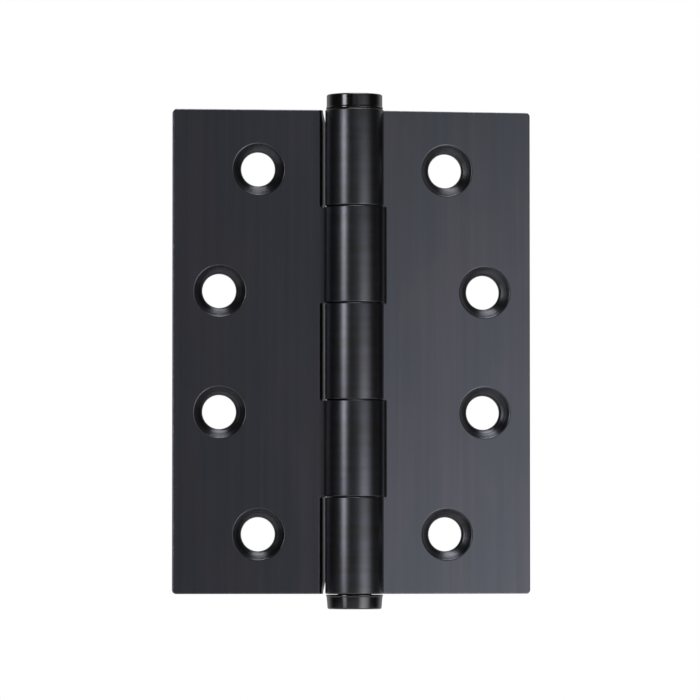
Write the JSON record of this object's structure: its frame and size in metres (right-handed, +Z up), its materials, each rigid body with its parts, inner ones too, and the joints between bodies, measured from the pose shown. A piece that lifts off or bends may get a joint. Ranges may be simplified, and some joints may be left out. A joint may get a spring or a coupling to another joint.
{
  "type": "butt hinge",
  "caption": "Fixed-pin door butt hinge with rolled interlocking knuckles, countersunk screw holes in a staggered pattern and flat button end caps, laid open just past flat.",
  "frame": {"origin": "on the pin's axis, halfway up the leaves", "axes": "+Z up along the pin; +X from the pin across the jamb's leaf; -Y is the way the jamb's leaf shows its countersunk face, so +Y points into the jamb"},
  "size_m": [0.0747, 0.0133, 0.1062],
  "materials": {
    "leaf_black": "fine vertical brushing under a thin satin black coating; turned rings on the knuckles and in the countersinks",
    "cap_black": "turned, thin satin black coating",
    "pin_steel": "bare drawn steel, lightly greased"
  },
  "bodies": {
    "jamb_leaf": {"three_knuckle_leaf": "leaf_black", "hinge_pin": "pin_steel", "top_cap": "cap_black", "bottom_cap": "cap_black"},
    "door_leaf": {"two_knuckle_leaf": "leaf_black"}
  },
  "joints": [
    {"name": "door_swing", "type": "hinge", "parent": "jamb_leaf", "child": "door_leaf", "pos_m": [0, 0, 0], "axis": [0, 0, 1], "range_deg": [-108, 186]}
  ]
}
